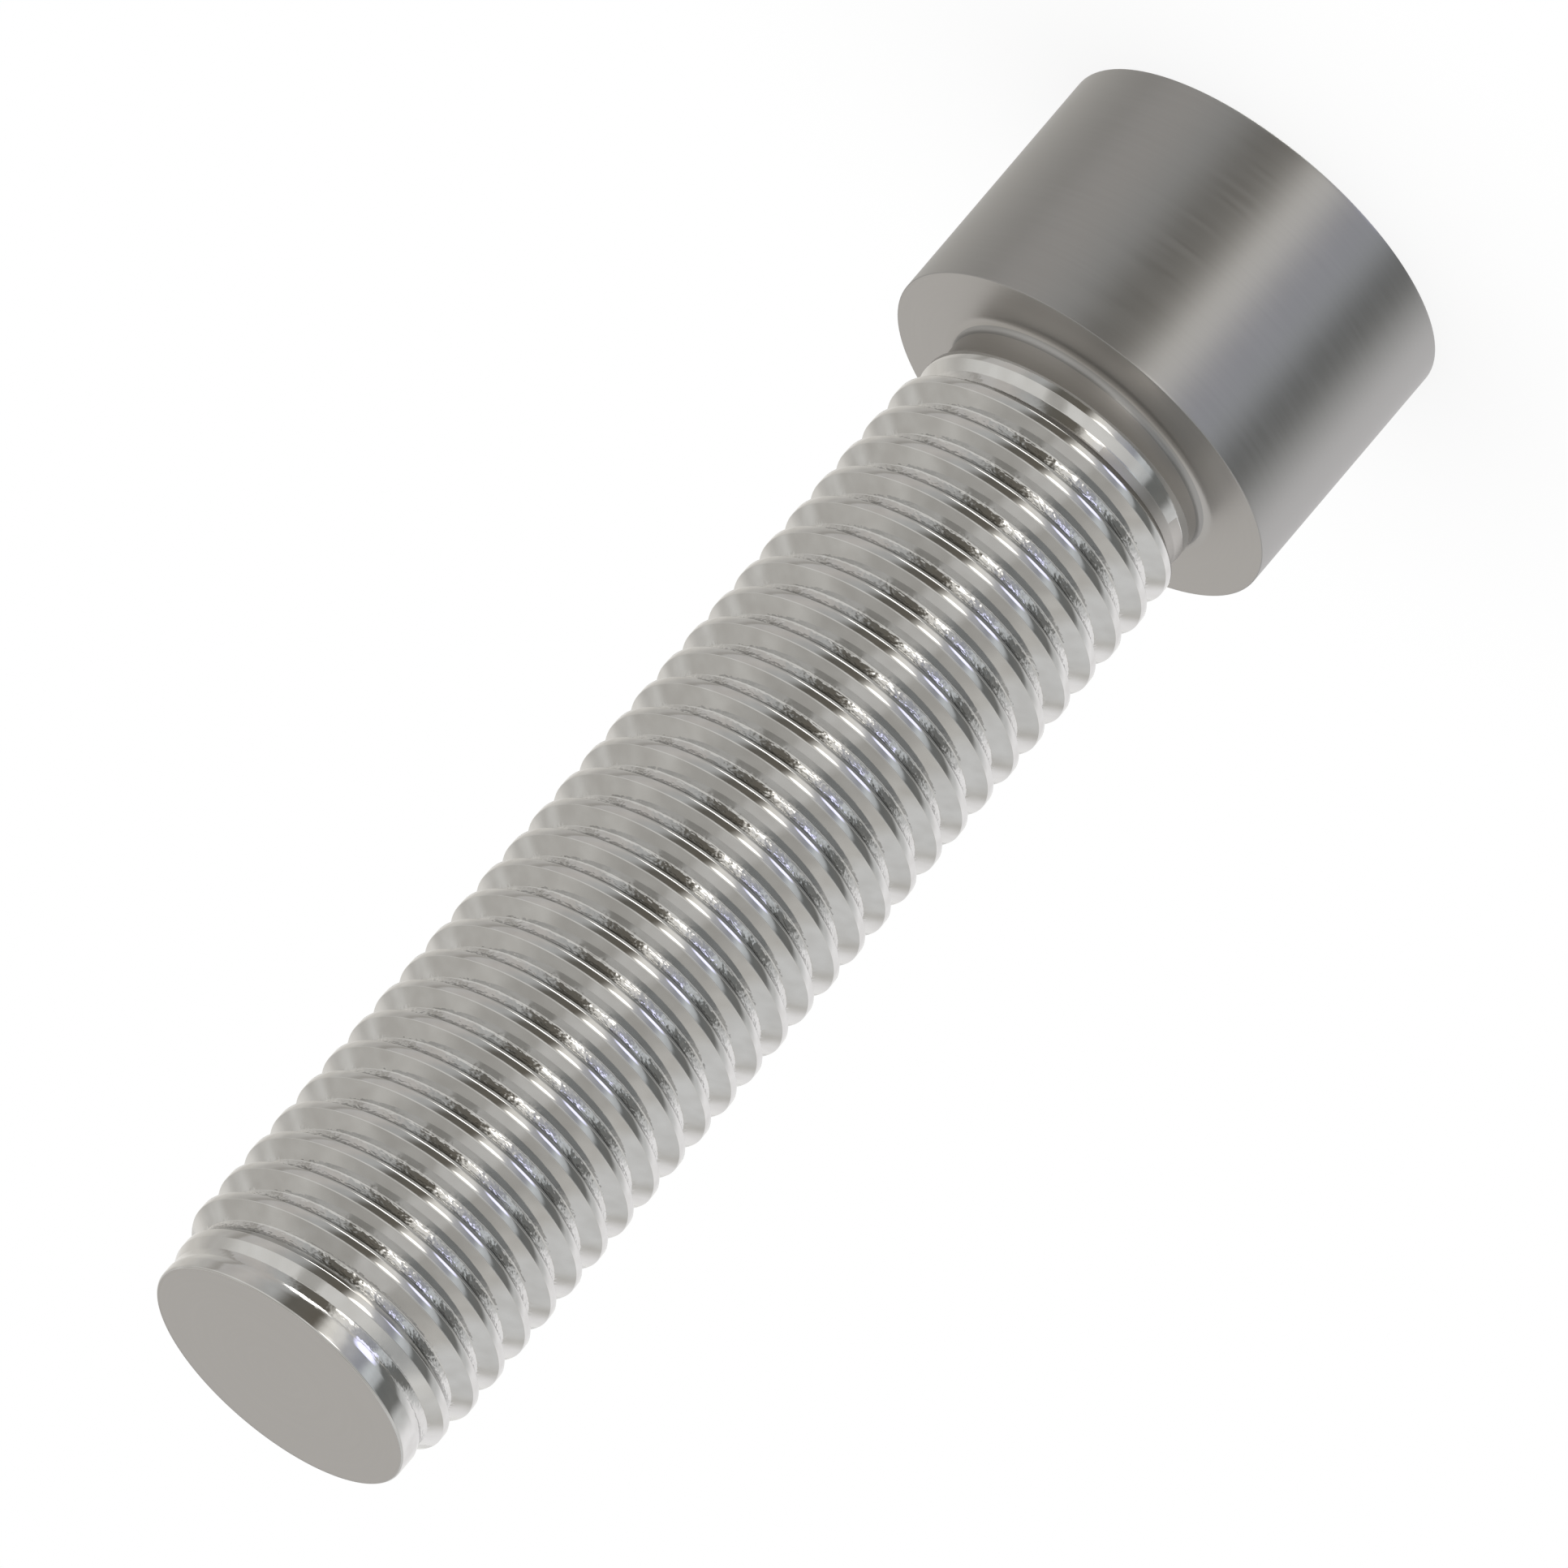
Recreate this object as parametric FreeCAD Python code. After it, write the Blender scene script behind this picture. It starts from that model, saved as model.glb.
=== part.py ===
"""Socket head cap screw with a rolled metric thread, standing on its head.

Origin: centre of the head's top face. +Z runs from the head to the point of the screw. Millimetres.
The screw is forged and thread-rolled from one piece of steel, so it is one solid.
"""

import FreeCAD, Part
import math
import os

# Head
head_diameter = 16.0
head_height = 10.2
socket_across_flats = 8.0
socket_depth = 5.5  # of the full hexagon
socket_mouth_diameter = 9.7
socket_mouth_angle = 60.0  # between the mouth's cone and the axis
drill_point_angle = 60.0  # between the cone at the socket's bottom and the axis

# Shank
shank_length = 46.7  # from the bearing face to the point
neck_length = 0.7  # plain neck between the bearing face and the thread's run-out
neck_fillet = 0.4
point_length = 1.0  # plain land behind the point
point_chamfer_length = 0.25
point_chamfer_depth = 0.07

# Thread: metric profile, flanks at 30 degrees to the radius, right hand
thread_diameter = 12.0
thread_pitch = 1.5
crest_allowance = 0.26  # the rolled crests' diameter stays this far under the nominal one
blank_allowance = 0.24  # the rolling blank's diameter stays this far under the pitch diameter
flank_angle = 30.0
neck_runout_turns = 1.25
point_runout_turns = 0.35
chords_per_turn = 30  # straight chords that make up one turn of the helix

# How far the threaded body reaches on past the thread, and how far it stays under the surfaces that hide it
root_in = 0.3
root_under = 0.02

sharp_height = thread_pitch * math.sqrt(3) / 2
pitch_radius = (thread_diameter - 0.75 * sharp_height) / 2
root_radius = (thread_diameter - 1.25 * sharp_height) / 2
crest_radius = (thread_diameter - crest_allowance) / 2
neck_radius = (2 * pitch_radius - blank_allowance) / 2
blank_radius = neck_radius - root_under

root_width = thread_pitch / 4
flank_width = (crest_radius - root_radius) * math.tan(math.radians(flank_angle))
crest_width = thread_pitch - root_width - 2 * flank_width

bearing_z = head_height
point_z = head_height + shank_length
neck_end_z = bearing_z + neck_length
land_z = point_z - point_length

# The helix starts one turn inside the head, so that its first turn ends where the thread rises from the neck
helix_start_z = neck_end_z - thread_pitch
body_bottom_z = helix_start_z - root_in
body_top_z = point_z - point_chamfer_length - root_under
helix_turns = (body_top_z - helix_start_z) / thread_pitch - 1
helix_chords = math.floor(helix_turns * chords_per_turn)

# One pitch of the profile: where each of its edges lies along the axis, and at what radius
profile = [
    (0.0, crest_radius),
    (crest_width, crest_radius),
    (crest_width + flank_width, root_radius),
    (crest_width + flank_width + root_width, root_radius),
]


def turned(outline):
    """The solid that an outline of (radius, height) points makes when it turns about Z."""
    corners = [FreeCAD.Vector(radius, 0, height) for radius, height in outline]
    section = Part.Face(Part.makePolygon(corners + corners[:1]))
    return section.revolve(FreeCAD.Vector(0, 0, 0), FreeCAD.Vector(0, 0, 1), 360)


def head_and_neck():
    """The plain head, and the neck with its fillet on the bearing face."""
    head_radius = head_diameter / 2
    outline = [
        (0, 0),
        (head_radius, 0),
        (head_radius, bearing_z),
        (neck_radius, bearing_z),
        (neck_radius, neck_end_z),
        (0, neck_end_z),
    ]
    blank = turned(outline)
    corner = [
        edge
        for edge in blank.Edges
        if isinstance(edge.Curve, Part.Circle)
        and abs(edge.Curve.Radius - neck_radius) < 1e-6
        and abs(edge.Curve.Center.z - bearing_z) < 1e-6
    ]
    return blank.makeFillet(min(neck_fillet, 0.9 * neck_length), corner)


def socket():
    """The hexagon socket: its flats face X, a drilled cone lies under it and a cone opens its mouth."""
    corner_radius = socket_across_flats / 2 / math.cos(math.radians(30))
    corners = [
        FreeCAD.Vector(
            corner_radius * math.cos(math.radians(60 * k + 30)),
            corner_radius * math.sin(math.radians(60 * k + 30)),
            0,
        )
        for k in range(6)
    ]
    hexagon = Part.Face(Part.makePolygon(corners + corners[:1]))
    prism = hexagon.extrude(FreeCAD.Vector(0, 0, socket_depth))
    drill_radius = socket_across_flats / 2
    drill_height = drill_radius / math.tan(math.radians(drill_point_angle))
    drilled = Part.makeCone(drill_radius, 0, drill_height, FreeCAD.Vector(0, 0, socket_depth))
    mouth_radius = socket_mouth_diameter / 2
    mouth_height = mouth_radius / math.tan(math.radians(socket_mouth_angle))
    mouth = Part.makeCone(mouth_radius, 0, mouth_height)
    return prism.fuse([drilled, mouth])


def point_land():
    """The plain land behind the point, with its chamfer."""
    outline = [
        (0, land_z),
        (neck_radius, land_z),
        (neck_radius, point_z - point_chamfer_length),
        (neck_radius - point_chamfer_depth, point_z),
        (0, point_z),
    ]
    return turned(outline)


def relief(chord):
    """How far the thread is formed at a chord of the helix: 0 is the plain blank, 1 the full profile."""
    from_neck = (chord / chords_per_turn - 1) / neck_runout_turns
    from_point = (helix_chords - chord) / chords_per_turn / point_runout_turns
    return max(0.0, min(1.0, from_neck, from_point))


def around(radius, chord, height):
    """The point at a chord's angle about Z."""
    angle = math.radians(360.0 * (chord % chords_per_turn) / chords_per_turn)
    return FreeCAD.Vector(radius * math.cos(angle), radius * math.sin(angle), height)


def on_helix(edge, chord):
    """The point where an edge of the profile passes a chord. Its last edge is the next turn's first."""
    if edge == len(profile):
        return on_helix(0, chord + chords_per_turn)
    offset, formed_radius = profile[edge]
    radius = blank_radius + relief(chord) * (formed_radius - blank_radius)
    height = helix_start_z + offset + thread_pitch * chord / chords_per_turn
    return around(radius, chord, height)


def facet(points):
    """A flat face through corner points."""
    return Part.Face(Part.makePolygon(points + points[:1]))


def strip(edge):
    """The surface between an edge of the profile and the next: flat on crest and root, folded on a flank."""
    faces = []
    for chord in range(helix_chords):
        a = on_helix(edge, chord)
        b = on_helix(edge, chord + 1)
        c = on_helix(edge + 1, chord + 1)
        d = on_helix(edge + 1, chord)
        if edge % 2 == 0:
            faces.append(facet([a, b, c, d]))
        else:
            faces.append(facet([a, b, c]))
            faces.append(facet([a, c, d]))
    return faces


def closing_turn(first_chord, ring_z):
    """The plain blank between one turn of the helix and a level ring, with the disc that closes it.

    The thread has no height where it starts and ends, so the seam lies straight along the blank's surface.
    """
    seam = [on_helix(edge, first_chord) for edge in range(len(profile) + 1)]
    faces = []
    for chord in range(first_chord, first_chord + chords_per_turn):
        ring = [around(blank_radius, chord, ring_z), around(blank_radius, chord + 1, ring_z)]
        start, end = [on_helix(0, chord)], [on_helix(0, chord + 1)]
        if ring_z < seam[0].z and chord == first_chord + chords_per_turn - 1:
            end = seam
        if ring_z > seam[0].z and chord == first_chord:
            start = seam
        faces.append(facet(ring + end + start))
    faces.append(facet([around(blank_radius, chord, ring_z) for chord in range(chords_per_turn)]))
    return faces


def threaded_body():
    """The shank's threaded length as one closed solid."""
    faces = closing_turn(0, body_bottom_z) + closing_turn(helix_chords, body_top_z)
    for edge in range(len(profile)):
        faces += strip(edge)
    shell = Part.makeCompound(faces)
    shell.sewShape()
    body = Part.makeSolid(shell.Shells[0])
    if body.Volume < 0:
        body.reverse()
    return body


def cap_screw():
    """Head, neck, threaded body and point in one piece, with the socket cut into the head."""
    blank = head_and_neck().fuse([threaded_body(), point_land()])
    return blank.cut(socket()).Solids[0]


os.makedirs("parts", exist_ok=True)
screw = cap_screw()
screw.exportStep("parts/cap_screw.step")
print("cap_screw volume", round(screw.Volume, 1), "mm3, faces", len(screw.Faces), "valid", screw.isValid())
print("diameters: crest", round(2 * crest_radius, 3), "root", round(2 * root_radius, 3))
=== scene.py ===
"""The look of a socket head cap screw: satin steel head, faced neck and point, bright rolled thread.

Metres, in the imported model's frame: the screw stands on its head, +Z runs from the head to the point.
"""

import bpy
import math
from mathutils import Matrix, Vector


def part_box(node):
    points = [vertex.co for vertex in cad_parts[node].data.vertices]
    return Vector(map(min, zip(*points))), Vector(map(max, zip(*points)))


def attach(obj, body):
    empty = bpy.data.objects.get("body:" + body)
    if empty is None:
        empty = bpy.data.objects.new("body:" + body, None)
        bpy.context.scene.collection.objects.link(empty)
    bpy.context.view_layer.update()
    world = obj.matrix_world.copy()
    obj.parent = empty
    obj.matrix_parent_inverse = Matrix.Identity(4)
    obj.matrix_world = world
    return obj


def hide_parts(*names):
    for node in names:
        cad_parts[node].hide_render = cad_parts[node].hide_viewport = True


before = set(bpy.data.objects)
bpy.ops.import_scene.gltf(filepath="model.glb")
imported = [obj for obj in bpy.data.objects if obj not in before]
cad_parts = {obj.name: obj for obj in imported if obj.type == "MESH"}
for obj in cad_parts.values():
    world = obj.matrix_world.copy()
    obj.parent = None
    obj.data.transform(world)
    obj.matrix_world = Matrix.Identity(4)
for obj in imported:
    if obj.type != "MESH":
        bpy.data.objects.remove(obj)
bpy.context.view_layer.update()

MM = 0.001
NODE = "cap_screw"
WHITE = (1.0, 1.0, 1.0)

# Mesh
columns = 144  # in one turn
sharp_angle = math.radians(38)  # an edge stays sharp where its faces meet at more than this

# Head: its radius and the screw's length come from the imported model's box
low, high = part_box(NODE)
head_radius = (high.x - low.x) / 2
point_z = high.z
head_height = 10.2 * MM
rim_radius = 0.03 * MM
rim_steps = 4
support_width = 4 * rim_radius  # from an edge to the ring that keeps the face beside it flat

# Socket
socket_across_flats = 8.0 * MM
socket_depth = 5.5 * MM
mouth_radius = 4.85 * MM
mouth_angle = math.radians(60)  # between the mouth's cone and the axis
drill_radius = 3.96 * MM
drill_angle = math.radians(60)  # between the cone at the socket's bottom and the axis

# Neck
neck_radius = 5.393 * MM
neck_length = 0.7 * MM
neck_fillet = 0.4 * MM
fillet_steps = 8
fillet_faced_rings = 5  # the fillet's first rings, which have the bearing face's finish; the rest, in the crease by the neck, take the darker satin steel as painted shade

# Point
point_rounding_length = 0.12 * MM
point_rounding_depth = 0.07 * MM
point_rounding_power = 3  # the rounding's depth grows with this power of the way along it
point_rounding_rings = (0.35, 0.65, 0.85, 1.0)  # as shares of that way
point_face_rings = (0.98, 0.5)  # as shares of the flat point's radius

# Thread
pitch = 1.5 * MM
crest_radius = 5.87 * MM
root_radius = 5.188 * MM
flank_angle = math.radians(30)
crest_edge_radius = 0.035 * MM
root_edge_radius = 0.07 * MM
root_width = pitch / 4
flank_width = (crest_radius - root_radius) * math.tan(flank_angle)
crest_width = pitch - root_width - 2 * flank_width
neck_runout_turns = 1.25
first_foot_share = 0.5  # of a flank's width, which the first flank starts with
rise_slant = 9  # columns from where one edge turns bright to where the next does, beside the neck
point_runout_turns = 1.1
thread_end_z = point_z - 1.2 * MM  # where the first edge of the last crest ends
land_length = 1.0 * MM
band_width = 0.06 * MM  # of plain land beside the thread's last turn

# Grain of the thread's root: its reach up the flanks, its depth, and its strength at the root and beyond
grain_reach = 0.17 * MM
grain_depth = 0.04 * MM
root_grain = 0.6
flank_grain = 0.02

# Middle range of a noise texture, where nearly all its values lie
noise_low = 0.3
noise_high = 0.7

# Camera
PHOTO_SIDE = 1932  # pixels
photo_pixels_per_mm = 35.175
view_elevation = math.radians(22.3)
view_azimuth = math.radians(122.4)
axis_in_picture = Vector((-0.6477, -0.7619))  # direction from head to point: right, up
target_height = 27.575 * MM  # of the place that the camera looks at
target_aside = 0.04 * MM  # from the axis to that place
lens = 1600.0  # in millimetres, as the camera's data has it
sensor = 36.0  # in millimetres too
clip_ratio = 10  # the camera sees from its distance divided by this to its distance times this

# Floor: its half width, how far its shadow reaches from the axis, and the most white that it takes away
floor_reach = 1.5
shadow_reach = 30 * MM
shadow_depth = 0.2

# Finishes, in the order of the mesh's materials. The first is the head's satin steel, and also painted
# shade in the fillet's crease by the neck
SATIN_AND_CREASE_SHADE, FACED, BRIGHT = 0, 1, 2


def lerp(a, b, share):
    return a + (b - a) * share


class Skin:
    """Vertices and faces of one closed mesh, gathered ring by ring."""

    def __init__(self):
        self.points = []
        self.faces = []
        self.finishes = []

    def point(self, radius, column, height):
        angle = math.tau * column / columns
        self.points.append((radius * math.cos(angle), radius * math.sin(angle), height))
        return len(self.points) - 1

    def axis_point(self, height):
        self.points.append((0.0, 0.0, height))
        return len(self.points) - 1

    def ring(self, radius, height):
        """A level ring. Radius and height are numbers, or functions of the column."""
        made = []
        for column in range(columns):
            r = radius(column) if callable(radius) else radius
            z = height(column) if callable(height) else height
            made.append(self.point(r, column, z))
        return made

    def face(self, corners, finish):
        self.faces.append(corners)
        self.finishes.append(finish)

    def join(self, inner, outer, finish):
        """Quads between two rings; the outside lies to the right of the way from inner to outer."""
        for column in range(columns):
            after = (column + 1) % columns
            self.face([inner[column], inner[after], outer[after], outer[column]], finish)

    def next_ring(self, ring, radius, height, finish):
        """A new ring, joined to the one before it."""
        made = self.ring(radius, height)
        self.join(ring, made, finish)
        return made

    def cap(self, ring, tip, finish, flip=False):
        """A fan from a ring to a point on the axis."""
        for column in range(columns):
            after = (column + 1) % columns
            corners = [ring[column], ring[after], tip]
            self.face(corners[::-1] if flip else corners, finish)


def arc(centre, radius, start, end, steps):
    """Points (radius, height) of an arc in the section plane, from one angle to another in degrees."""
    made = []
    for step in range(steps + 1):
        angle = math.radians(lerp(start, end, step / steps))
        made.append((centre[0] + radius * math.cos(angle), centre[1] + radius * math.sin(angle)))
    return made


def hexagon_radius(column):
    """Distance from the axis to the socket's wall. Its flats face X and every 60 degrees from there."""
    angle = (360.0 * column / columns + 30.0) % 60.0 - 30.0
    return socket_across_flats / 2 / math.cos(math.radians(angle))


def mouth_depth(column):
    """Depth at which the cone of the mouth meets the socket's wall."""
    return (mouth_radius - hexagon_radius(column)) / math.tan(mouth_angle)


def add_head(skin):
    """From the bottom of the socket out over the head to the fillet's end. Returns the ring there."""
    tip = skin.axis_point(socket_depth + drill_radius / math.tan(drill_angle))
    ring = skin.ring(drill_radius, socket_depth)
    skin.cap(ring, tip, SATIN_AND_CREASE_SHADE, flip=True)

    rim_centre = head_radius - rim_radius
    top_and_side = [
        (hexagon_radius, socket_depth),
        (hexagon_radius, mouth_depth),
        (mouth_radius, 0.0),
        (head_radius - support_width, 0.0),
    ]
    top_and_side += arc((rim_centre, rim_radius), rim_radius, -90, 0, rim_steps)
    for height in (support_width, head_height / 2, head_height - support_width):
        top_and_side.append((head_radius, height))
    top_and_side += arc((rim_centre, head_height - rim_radius), rim_radius, 0, 90, rim_steps)

    fillet_foot = neck_radius + neck_fillet
    bearing = [(head_radius - support_width, head_height), (fillet_foot + support_width, head_height)]
    fillet = arc((fillet_foot, head_height + neck_fillet), neck_fillet, 270, 180, fillet_steps)

    stretches = [
        (SATIN_AND_CREASE_SHADE, top_and_side),
        (FACED, bearing + fillet[:fillet_faced_rings]),
        # The rest of the fillet, in the crease by the neck: the darker satin steel, as painted shade
        (SATIN_AND_CREASE_SHADE, fillet[fillet_faced_rings:]),
    ]
    for finish, rings in stretches:
        for radius, height in rings:
            ring = skin.next_ring(ring, radius, height, finish)
    return ring


def thread_profile():
    """One pitch of the thread's section, from a crest's start to the end of the root after it.

    Each point is an offset along the axis and a radius. A corner has two, the ends of its rounding.
    """
    bend = math.pi / 2 - flank_angle
    # Offset, radius and rounding of a corner, the way it bulges, and the side that its flat lies on
    corners = [
        (0.0, crest_radius, crest_edge_radius, 1, 1),
        (crest_width, crest_radius, crest_edge_radius, 1, -1),
        (crest_width + flank_width, root_radius, root_edge_radius, -1, 1),
        (crest_width + flank_width + root_width, root_radius, root_edge_radius, -1, -1),
    ]
    made = []
    for offset, radius, rounding, bulge, flat_side in corners:
        centre_offset = offset + flat_side * rounding * math.tan(bend / 2)
        centre_radius = radius - bulge * rounding
        for angle in (bend, 0.0) if flat_side > 0 else (0.0, bend):
            along = -flat_side * rounding * math.sin(angle)
            made.append((centre_offset + along, centre_radius + bulge * rounding * math.cos(angle)))
    return made


def add_thread(skin, ring):
    """The neck and the thread, from the fillet's end to a level ring on the land, which it returns."""
    profile = thread_profile()
    rows = len(profile)
    start_z = head_height + neck_length
    land_z = point_z - land_length
    room = land_length - point_rounding_length
    last = int((thread_end_z - start_z) / pitch * columns)

    def level(column, offset):
        """Height of an edge of the profile. Past the thread the edges close up, to stay on the land."""
        height = start_z + offset + pitch * column / columns
        past = height - land_z
        if past <= 0:
            return height
        return height - past + room * (1 - math.exp(-past / room))

    def formed(column):
        """How far the thread is formed: 0 is the plain neck, 1 the full profile."""
        from_neck = column / columns / neck_runout_turns
        from_point = (last - column) / columns / point_runout_turns
        return max(0.0, min(1.0, from_neck, from_point))

    table = {}
    for column in range(last + 1):
        for row, (offset, full_radius) in enumerate(profile):
            radius = lerp(neck_radius, full_radius, formed(column))
            table[column, row] = skin.point(radius, column, level(column, offset))
    for column in range(last + 1, last + columns + 1):
        table[column, 0] = skin.point(neck_radius, column, level(column, 0.0))

    def on_helix(column, row):
        """A point of the helix. The edge after the profile's last is the next turn's first."""
        return table[column + columns, 0] if row == rows else table[column, row]

    # Foot of the first flank, on the neck
    foot = []
    for column in range(columns):
        share = lerp(first_foot_share, 1.0, column / columns)
        height = start_z - share * flank_width + pitch * column / columns
        foot.append(skin.point(neck_radius, column, height))
    foot.append(table[0, rows - 1])

    for column in range(last):
        for row in range(rows):
            corners = [
                on_helix(column, row),
                on_helix(column + 1, row),
                on_helix(column + 1, row + 1),
                on_helix(column, row + 1),
            ]
            skin.face(corners, BRIGHT if column >= rise_slant * row else FACED)

    # Below the helix: the neck up to the first flank's foot, and that flank
    for column in range(columns):
        after = (column + 1) % columns
        if column == columns - 1:
            upper = [foot[0]] + [table[0, row] for row in range(rows)] + [foot[column]]
        else:
            upper = [foot[column + 1], foot[column]]
        skin.face([ring[column], ring[after]] + upper, FACED)
        skin.face([foot[column], foot[column + 1], table[column + 1, 0], table[column, 0]], FACED)

    # Above the helix: a narrow band past its last turn, then the land up to the point's rounding
    heights = [level(last + columns, 0.0)]
    heights += [level(last + column, 0.0) for column in range(1, columns)]
    band = [skin.point(neck_radius, last + column, z + band_width) for column, z in enumerate(heights)]
    for column in range(columns):
        after = (column + 1) % columns
        corners = [table[last + column, 0], table[last + column + 1, 0], band[after], band[column]]
        if column == 0:
            seam = [table[last, row] for row in range(1, rows)] + [table[last + columns, 0]]
            corners += seam[::-1]
        skin.face(corners, BRIGHT)
    shift = last % columns
    band = [band[(column - shift) % columns] for column in range(columns)]
    return skin.next_ring(band, neck_radius, point_z - point_rounding_length, BRIGHT)


def add_point(skin, ring):
    """The rounded end of the land, and the flat point."""
    for share in point_rounding_rings:
        radius = neck_radius - point_rounding_depth * share**point_rounding_power
        height = point_z - point_rounding_length * (1 - share)
        ring = skin.next_ring(ring, radius, height, BRIGHT)
    for share in point_face_rings:
        ring = skin.next_ring(ring, radius * share, point_z, FACED)
    skin.cap(ring, skin.axis_point(point_z), FACED)


def new_material(name):
    material = bpy.data.materials.new(name)
    material.use_nodes = True
    return material, material.node_tree.nodes, material.node_tree.links


def vector_math(nodes, links, operation, value, factors=None):
    node = nodes.new("ShaderNodeVectorMath")
    node.operation = operation
    links.new(value, node.inputs[0])
    if factors:
        node.inputs[1].default_value = factors
    return node


def fade(nodes, links, value, first, full, most=1.0):
    """A smooth rise from 0, where the value is at the first number, to the most, where it is full."""
    node = nodes.new("ShaderNodeMapRange")
    node.interpolation_type = "SMOOTHSTEP"
    links.new(value, node.inputs["Value"])
    node.inputs["From Min"].default_value = first
    node.inputs["From Max"].default_value = full
    node.inputs["To Max"].default_value = most
    return node.outputs["Result"]


def mix(nodes, links, share, under, over):
    """A share of one colour over another. The one below is a linked value or a plain colour."""
    node = nodes.new("ShaderNodeMix")
    node.data_type = "RGBA"
    links.new(share, node.inputs["Factor"])
    if isinstance(under, tuple):
        node.inputs["A"].default_value = (*under, 1.0)
    else:
        links.new(under, node.inputs["A"])
    node.inputs["B"].default_value = (*over, 1.0)
    return node.outputs["Result"]


def spread(nodes, links, value, least, most, first=noise_low, full=noise_high):
    """Maps a value from one range on to another. Its own range is a noise's, unless it is given."""
    node = nodes.new("ShaderNodeMapRange")
    links.new(value, node.inputs["Value"])
    node.inputs["From Min"].default_value = first
    node.inputs["From Max"].default_value = full
    node.inputs["To Min"].default_value = least
    node.inputs["To Max"].default_value = most
    return node.outputs["Result"]


def axis_distance(nodes, links):
    """How far a point of the surface is from the screw's axis."""
    place = nodes.new("ShaderNodeTexCoord").outputs["Object"]
    flat = vector_math(nodes, links, "MULTIPLY", place, (1.0, 1.0, 0.0))
    return vector_math(nodes, links, "LENGTH", flat.outputs["Vector"]).outputs["Value"]


def steel_noise(nodes, links, around, across):
    """Fine marks that run round the axis: how many to the millimetre, round the axis and across it."""
    parts = nodes.new("ShaderNodeSeparateXYZ")
    links.new(nodes.new("ShaderNodeTexCoord").outputs["Object"], parts.inputs[0])
    along = nodes.new("ShaderNodeMath")
    along.operation = "ADD"
    links.new(parts.outputs["Z"], along.inputs[0])
    links.new(axis_distance(nodes, links), along.inputs[1])
    joined = nodes.new("ShaderNodeCombineXYZ")
    links.new(parts.outputs["X"], joined.inputs["X"])
    links.new(parts.outputs["Y"], joined.inputs["Y"])
    links.new(along.outputs[0], joined.inputs["Z"])
    scale = (around / MM, around / MM, across / MM)
    scaled = vector_math(nodes, links, "MULTIPLY", joined.outputs[0], scale)
    noise = nodes.new("ShaderNodeTexNoise")
    noise.inputs["Scale"].default_value = 1.0
    noise.inputs["Detail"].default_value = 1.0
    links.new(scaled.outputs["Vector"], noise.inputs["Vector"])
    return noise.outputs["Fac"]


def new_steel(name, edge_tint):
    """Bare metal. The lower the tint, the dimmer its reflection near a grazing angle."""
    material, nodes, links = new_material(name)
    shader = nodes["Principled BSDF"]
    shader.inputs["Metallic"].default_value = 1.0
    shader.inputs["Specular Tint"].default_value = (edge_tint, edge_tint, edge_tint, 1.0)
    return material, nodes, links, shader.inputs


def satin_steel(name, dark, pale):
    """Tumbled or faced steel, with a soft gloss and faint turning marks."""
    material, nodes, links, shader = new_steel(name, edge_tint=0.8)
    marks = steel_noise(nodes, links, around=0.3, across=9.0)
    share = spread(nodes, links, marks, least=0.0, most=1.0)
    links.new(mix(nodes, links, share, dark, pale), shader["Base Color"])
    links.new(spread(nodes, links, marks, least=0.33, most=0.36), shader["Roughness"])
    return material


def bright_steel(name, dark, pale):
    """Rolled thread: bright flanks and crests, and a rougher root."""
    material, nodes, links, shader = new_steel(name, edge_tint=0.85)
    cloud = steel_noise(nodes, links, around=1.2, across=2.5)
    share = spread(nodes, links, cloud, least=0.0, most=1.0)
    links.new(mix(nodes, links, share, dark, pale), shader["Base Color"])
    links.new(spread(nodes, links, cloud, least=0.05, most=0.09), shader["Roughness"])

    radius = axis_distance(nodes, links)
    reach = root_radius + grain_reach
    strength = spread(nodes, links, radius, flank_grain, root_grain, first=reach, full=root_radius)
    bump = nodes.new("ShaderNodeBump")
    bump.inputs["Distance"].default_value = grain_depth
    links.new(strength, bump.inputs["Strength"])
    links.new(steel_noise(nodes, links, around=4.0, across=9.0), bump.inputs["Height"])
    links.new(bump.outputs["Normal"], shader["Normal"])
    return material


def build_screw():
    skin = Skin()
    fillet_end = add_head(skin)
    land_end = add_thread(skin, fillet_end)
    add_point(skin, land_end)
    mesh = bpy.data.meshes.new("screw_steel")
    mesh.from_pydata(skin.points, [], skin.faces)
    steels = [
        # Satin steel for the head and socket, and also painted shade in the fillet's crease by the neck
        satin_steel("satin_steel", dark=(0.380, 0.378, 0.374), pale=(0.392, 0.390, 0.387)),
        satin_steel("faced_steel", dark=(0.500, 0.487, 0.470), pale=(0.514, 0.501, 0.484)),
        bright_steel("bright_steel", dark=(0.59, 0.588, 0.58), pale=(0.65, 0.652, 0.648)),
    ]
    for steel in steels:
        mesh.materials.append(steel)
    mesh.polygons.foreach_set("material_index", skin.finishes)
    mesh.polygons.foreach_set("use_smooth", [True] * len(mesh.polygons))
    mesh.update()
    mesh.set_sharp_from_angle(angle=sharp_angle)
    screw = bpy.data.objects.new("screw_steel", mesh)
    bpy.context.scene.collection.objects.link(screw)
    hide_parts(NODE)
    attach(screw, "root")


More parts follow.
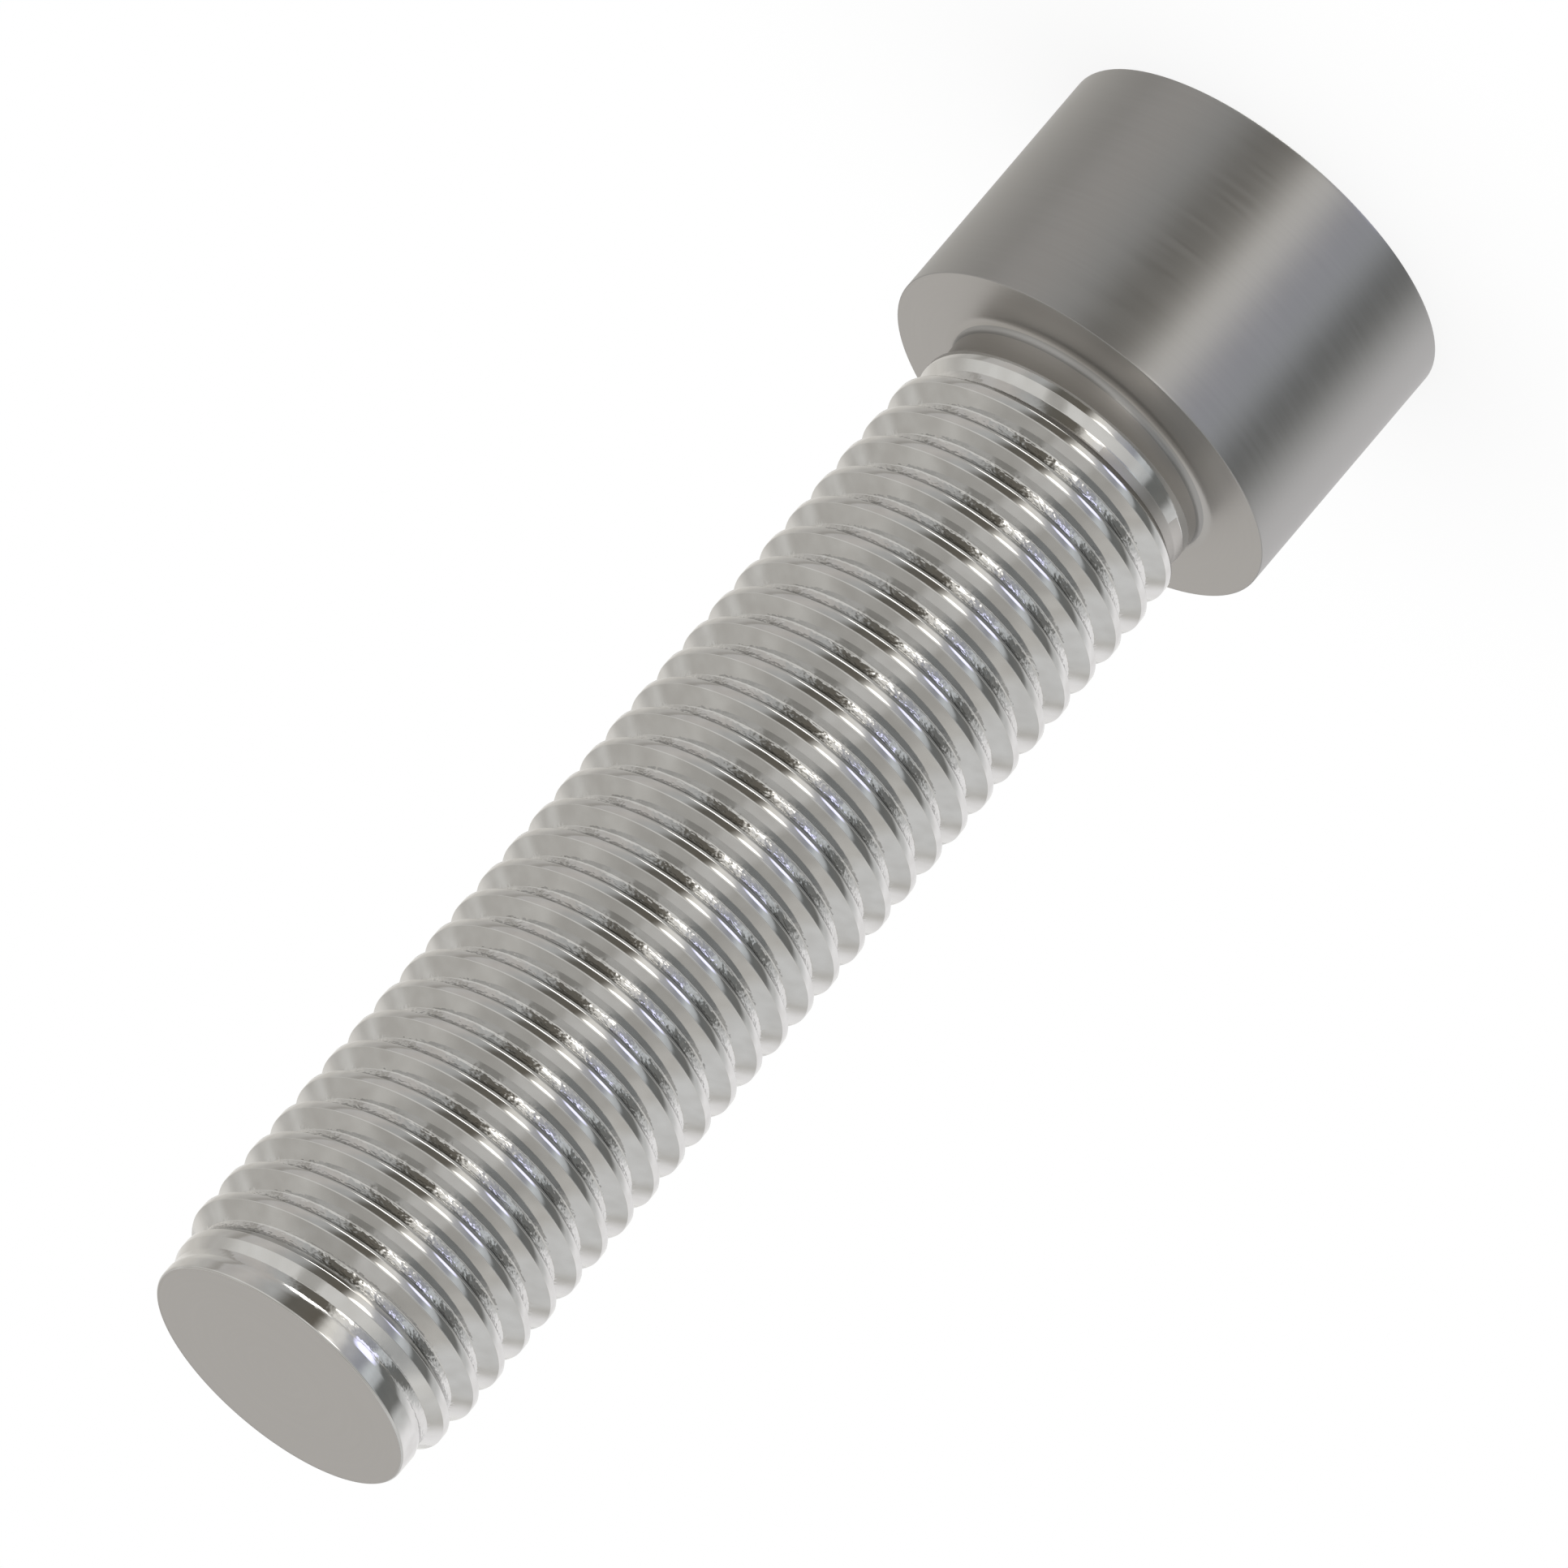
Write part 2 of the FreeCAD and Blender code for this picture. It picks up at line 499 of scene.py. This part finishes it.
# What stands round the screw below the horizon: angle from the camera's side in degrees, and its light
SURROUND = [
    (-180, (1.00, 0.99, 0.96)),
    (-160, (1.00, 0.97, 0.92)),
    (-142, (0.86, 0.83, 0.78)),
    (-112, (0.63, 0.61, 0.58)),
    (-98, (0.47, 0.45, 0.42)),
    (-93, (0.64, 0.62, 0.60)),
    (-72, (0.66, 0.63, 0.60)),
    (-46, (0.54, 0.54, 0.53)),
    (-28, (0.165, 0.155, 0.135)),
    (-7, (0.17, 0.155, 0.13)),
    (6, (1.00, 0.97, 0.91)),
    (15, (0.96, 0.94, 0.91)),
    (26, (0.55, 0.55, 0.57)),
    (40, (0.42, 0.43, 0.47)),
    (50, (0.72, 0.75, 0.77)),
    (58, (0.60, 0.62, 0.63)),
    (66, (0.20, 0.205, 0.20)),
    (84, (0.22, 0.22, 0.21)),
    (98, (0.72, 0.72, 0.71)),
    (124, (1.16, 1.14, 1.14)),
    (158, (1.14, 1.12, 1.12)),
    (180, (1.00, 0.99, 0.96)),
]

# What lies above the horizon and below the screw, and the elevations between which each comes in
CEILING = (0.66, 0.64, 0.605)
CEILING_FROM, CEILING_FULL = -2, 9
GROUND = (0.70, 0.68, 0.65)
GROUND_FROM, GROUND_FULL = -46, -56

# Soft lights and shades over those, the later over the earlier: angle from the camera's side, elevation,
# half width and half height, all in degrees, and light
LIGHTS = [
    (0, 22, 160, 19, (0.86, 0.845, 0.815)),
    (0, 66, 106, 21, (0.50, 0.485, 0.455)),
    (17, 68, 28, 10, (0.67, 0.655, 0.63)),
    (180, 24, 34, 28, (0.775, 0.755, 0.73)),
    (11, -8, 10, 9, (2.75, 2.64, 2.48)),
    (43, -45, 13, 11, (1.60, 1.60, 2.20)),
    (-34, -64, 34, 15, (5.00, 4.90, 4.75)),
    (-26, 22, 12, 12, (0.52, 0.505, 0.475)),
    (52, 20, 36, 14, (0.40, 0.41, 0.41)),
    (140, 34, 38, 24, (0.80, 0.795, 0.785)),
    (-120, 32, 26, 18, (0.61, 0.59, 0.555)),
]

# Where a light ends and where it is full, by the square of the distance from its middle in half sizes
LIGHT_ENDS, LIGHT_FULL = 1.5, 0.4


def studio():
    """What the steel reflects: a surround, a ceiling, a ground and soft lights. All else sees white."""
    world = bpy.data.worlds.new("studio")
    bpy.context.scene.world = world
    world.use_nodes = True
    nodes, links = world.node_tree.nodes, world.node_tree.links
    nodes.clear()

    def calc(operation, *values):
        """Output of a maths node. Each value is a number or a linked value."""
        node = nodes.new("ShaderNodeMath")
        node.operation = operation
        for number, value in enumerate(values):
            if isinstance(value, (int, float)):
                node.inputs[number].default_value = value
            else:
                links.new(value, node.inputs[number])
        return node.outputs[0]

    direction = nodes.new("ShaderNodeSeparateXYZ")
    links.new(nodes.new("ShaderNodeTexCoord").outputs["Generated"], direction.inputs[0])
    azimuth = calc("ARCTAN2", direction.outputs["Y"], direction.outputs["X"])
    aside = calc("WRAP", calc("DEGREES", calc("SUBTRACT", view_azimuth, azimuth)), 180, -180)
    height = calc("DEGREES", calc("ARCSINE", direction.outputs["Z"]))

    ramp = nodes.new("ShaderNodeValToRGB")
    links.new(calc("MULTIPLY_ADD", aside, 1 / 360, 0.5), ramp.inputs[0])
    stops = ramp.color_ramp.elements
    ramp.color_ramp.interpolation = "EASE"
    given = len(stops)  # the stops that a new ramp already has
    for number, (angle, colour) in enumerate(SURROUND):
        place = angle / 360 + 0.5
        stop = stops[number] if number < given else stops.new(place)
        stop.position = place
        stop.color = (*colour, 1.0)

    light = ramp.outputs["Color"]
    light = mix(nodes, links, fade(nodes, links, height, CEILING_FROM, CEILING_FULL), light, CEILING)
    light = mix(nodes, links, fade(nodes, links, height, GROUND_FROM, GROUND_FULL), light, GROUND)
    for angle, elevation, half_width, half_height, colour in LIGHTS:
        across = calc("DIVIDE", calc("WRAP", calc("SUBTRACT", aside, angle), 180, -180), half_width)
        up = calc("DIVIDE", calc("SUBTRACT", height, elevation), half_height)
        away = calc("ADD", calc("MULTIPLY", across, across), calc("MULTIPLY", up, up))
        light = mix(nodes, links, fade(nodes, links, away, LIGHT_ENDS, LIGHT_FULL), light, colour)

    reflected = nodes.new("ShaderNodeLightPath").outputs["Is Glossy Ray"]
    seen = mix(nodes, links, calc("SUBTRACT", 1.0, reflected), light, WHITE)
    background = nodes.new("ShaderNodeBackground")
    links.new(seen, background.inputs["Color"])
    output = nodes.new("ShaderNodeOutputWorld")
    links.new(background.outputs[0], output.inputs["Surface"])


def floor():
    """A pale floor with a faint soft shadow. The steel shows the studio's ground in its place."""
    mesh = bpy.data.meshes.new("floor")
    side = floor_reach
    corners = [(-side, -side, 0), (side, -side, 0), (side, side, 0), (-side, side, 0)]
    mesh.from_pydata(corners, [], [(0, 1, 2, 3)])
    material, nodes, links = new_material("pale_floor")
    nodes.clear()
    place = nodes.new("ShaderNodeTexCoord").outputs["Object"]
    away = vector_math(nodes, links, "LENGTH", place).outputs["Value"]
    near = fade(nodes, links, away, shadow_reach, head_radius, shadow_depth)
    matt = nodes.new("ShaderNodeBsdfDiffuse")
    matt.inputs["Color"].default_value = (*WHITE, 1.0)
    glow = nodes.new("ShaderNodeEmission")
    both = nodes.new("ShaderNodeMixShader")
    links.new(near, both.inputs[0])
    links.new(glow.outputs[0], both.inputs[1])
    links.new(matt.outputs[0], both.inputs[2])
    output = nodes.new("ShaderNodeOutputMaterial")
    links.new(both.outputs[0], output.inputs["Surface"])
    mesh.materials.append(material)
    plane = bpy.data.objects.new("floor", mesh)
    bpy.context.scene.collection.objects.link(plane)
    plane.visible_glossy = False
    plane.visible_diffuse = False


def camera():
    """The photograph's view: nearly parallel, from the point's side, the screw across the picture."""
    towards = Vector(
        (
            math.cos(view_elevation) * math.cos(view_azimuth),
            math.cos(view_elevation) * math.sin(view_azimuth),
            math.sin(view_elevation),
        )
    )
    along = (Vector((0, 0, 1)) - towards.z * towards).normalized()
    aside = towards.cross(along)
    right = axis_in_picture.x * along - axis_in_picture.y * aside
    up = axis_in_picture.y * along + axis_in_picture.x * aside
    side = PHOTO_SIDE / photo_pixels_per_mm * MM
    distance = side * lens / sensor
    target = Vector((0, 0, target_height)) + target_aside * aside
    data = bpy.data.cameras.new("camera")
    data.lens = lens
    data.sensor_width = sensor
    data.clip_start = distance / clip_ratio
    data.clip_end = distance * clip_ratio
    eye = bpy.data.objects.new("camera", data)
    place = Matrix((right, up, towards)).transposed().to_4x4()
    place.translation = target + towards * distance
    eye.matrix_world = place
    bpy.context.scene.collection.objects.link(eye)
    bpy.context.scene.camera = eye


build_screw()
floor()
studio()
camera()
bpy.context.scene.view_settings.view_transform = "Standard"
